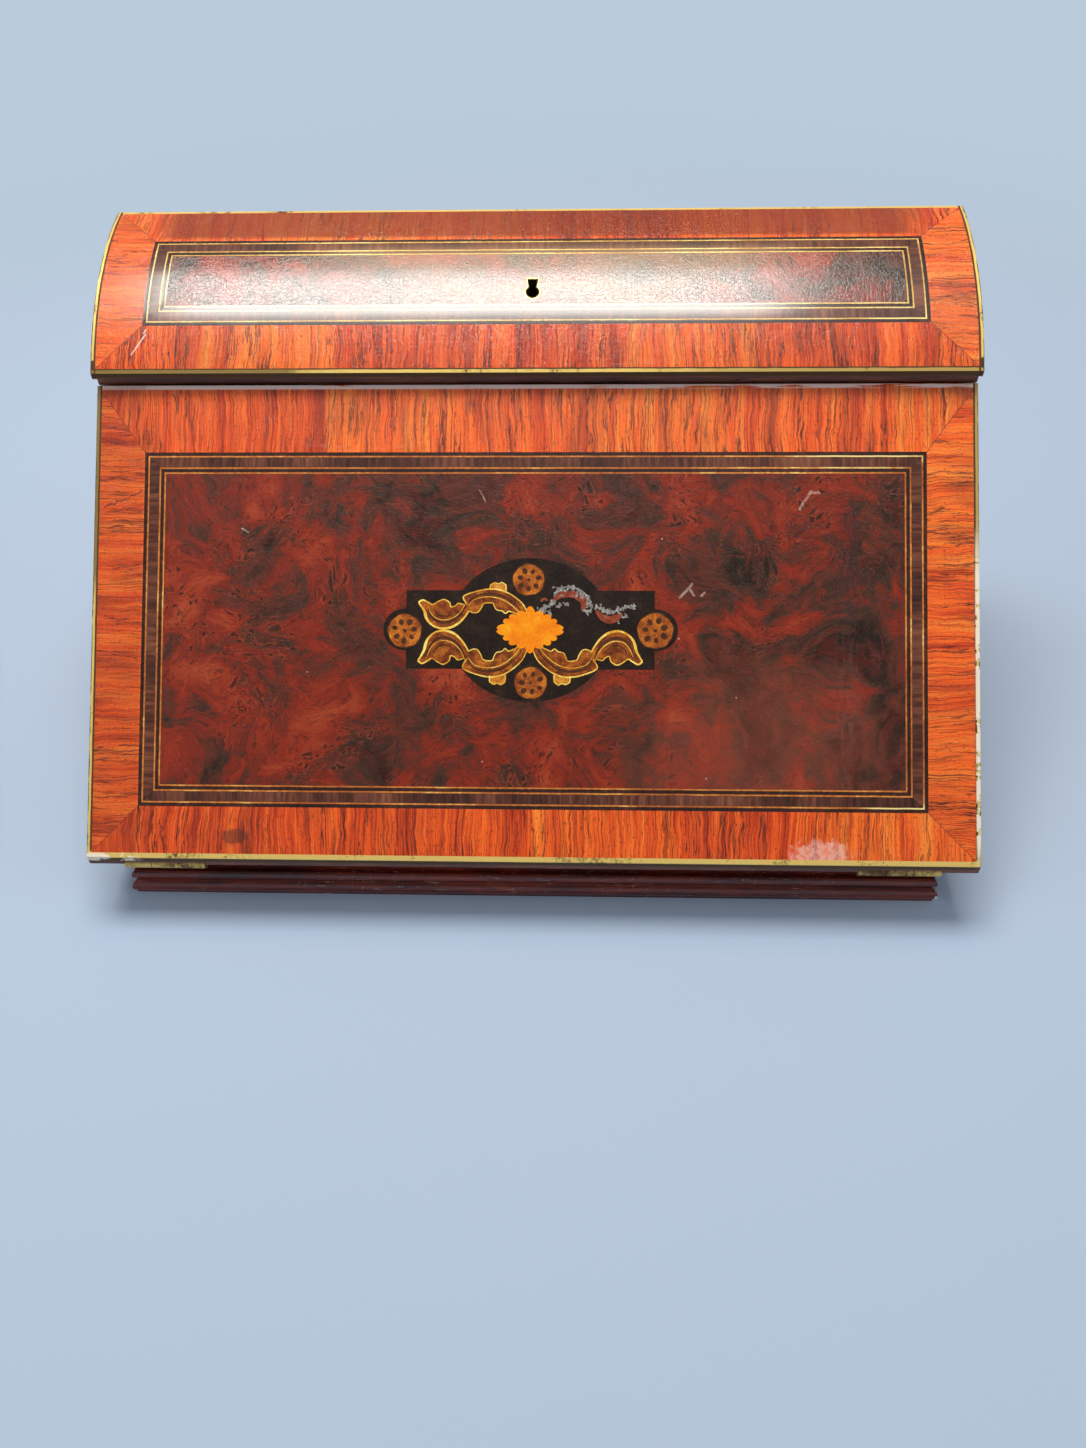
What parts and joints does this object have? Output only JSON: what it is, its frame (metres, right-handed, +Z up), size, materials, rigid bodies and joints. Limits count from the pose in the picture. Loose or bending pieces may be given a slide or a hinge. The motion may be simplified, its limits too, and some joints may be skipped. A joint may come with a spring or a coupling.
{
  "type": "writing slope",
  "caption": "Slope-front writing box with a domed hinged lid, a fall front lined for writing, letter racks, pen tray, inkwells and a recessed moulded base.",
  "frame": {"origin": "on the table, under the middle of the box's overall width and depth", "axes": "+Z up, +X to the right as the user faces the box, the fall front faces -Y"},
  "size_m": [0.36, 0.2242, 0.2012],
  "materials": {
    "crossbanding": "French-polished kingwood cross-banding",
    "burr": "French-polished burr veneer",
    "dark_stringing": "polished dark stringing",
    "light_stringing": "polished boxwood stringing",
    "middle_band": "polished dark cross-banding",
    "ebonised": "polished ebony ground",
    "marquetry": "engraved satinwood and brass inlay",
    "carcase": "stained and polished edge wood",
    "side_veneer": "French-polished side veneer",
    "moulding": "worn polished moulding",
    "interior": "satin interior wood",
    "leather": "tooled writing leather",
    "edge_brass": "worn brass edging",
    "hinge_brass": "tarnished brass",
    "cap_brass": "polished brass",
    "lock_steel": "dull steel",
    "glass": "clear cast glass"
  },
  "bodies": {
    "case": {"base_moulding_front": "moulding", "base_moulding_back": "moulding", "base_moulding_left": "moulding", "base_moulding_right": "moulding", "hinge_rail": "moulding", "bottom_board": "interior", "back_board": "side_veneer", "side_board_left": "side_veneer", "side_board_right": "side_veneer", "top_rail": "carcase", "strike_block": "interior", "strike_plate": "hinge_brass", "shelf": "interior", "shelf_bearers": "interior", "tray_partitions": "interior", "pen_tray": "interior", "rack_divider_front": "interior", "rack_divider_middle": "interior", "rack_divider_rear": "interior", "inkwell_glass_left": "glass", "inkwell_glass_right": "glass", "inkwell_collar_left": "cap_brass", "inkwell_collar_right": "cap_brass", "inkwell_pins": "hinge_brass", "rail_hinge_leaves": "hinge_brass", "rail_hinge_screws": "hinge_brass", "flap_hinge_pins": "hinge_brass", "case_hinge_leaves": "hinge_brass", "case_hinge_screws": "hinge_brass", "lid_hinge_pins": "hinge_brass"},
    "lid": {"lid_dome": "carcase", "lid_end_left": "side_veneer", "lid_end_right": "side_veneer", "lid_back_rail": "side_veneer", "lid_brass_edging": "edge_brass", "lid_crossbanding": "crossbanding", "lid_dark_lines": "dark_stringing", "lid_light_lines": "light_stringing", "lid_middle_band": "middle_band", "lid_burr_panel": "burr", "lid_hinge_leaves": "hinge_brass", "lid_hinge_screws": "hinge_brass", "keyhole_lining": "edge_brass", "lock_case": "lock_steel"},
    "flap": {"flap_core": "carcase", "flap_brass_edging": "edge_brass", "flap_crossbanding": "crossbanding", "flap_dark_lines": "dark_stringing", "flap_light_lines": "light_stringing", "flap_middle_band": "middle_band", "flap_burr_panel": "burr", "flap_cartouche_ground": "ebonised", "flap_cartouche_inlay": "marquetry", "flap_writing_leather": "leather", "flap_inner_border": "crossbanding", "flap_hinge_leaves": "hinge_brass", "flap_hinge_screws": "hinge_brass"},
    "bolt": {"lock_bolt": "lock_steel"},
    "cap_left": {"inkwell_cap_left": "cap_brass"},
    "cap_right": {"inkwell_cap_right": "cap_brass"}
  },
  "joints": [
    {"name": "lid_hinge", "type": "hinge", "parent": "case", "child": "lid", "pos_m": [0, 0.10959, 0.1645], "axis": [-1, 0, 0], "range_deg": [0, 100]},
    {"name": "flap_hinge", "type": "hinge", "parent": "case", "child": "flap", "pos_m": [0, -0.10979, 0.02755], "axis": [1, 0, 0], "range_deg": [0, 145]},
    {"name": "bolt_slide", "type": "slide", "parent": "lid", "child": "bolt", "axis": [0, 0, -1], "range_m": [0, 0.0045]},
    {"name": "cap_left_hinge", "type": "hinge", "parent": "case", "child": "cap_left", "pos_m": [-0.144, 0.04359, 0.104], "axis": [-1, 0, 0], "range_deg": [0, 95]},
    {"name": "cap_right_hinge", "type": "hinge", "parent": "case", "child": "cap_right", "pos_m": [0.144, 0.04359, 0.104], "axis": [-1, 0, 0], "range_deg": [0, 95]}
  ]
}
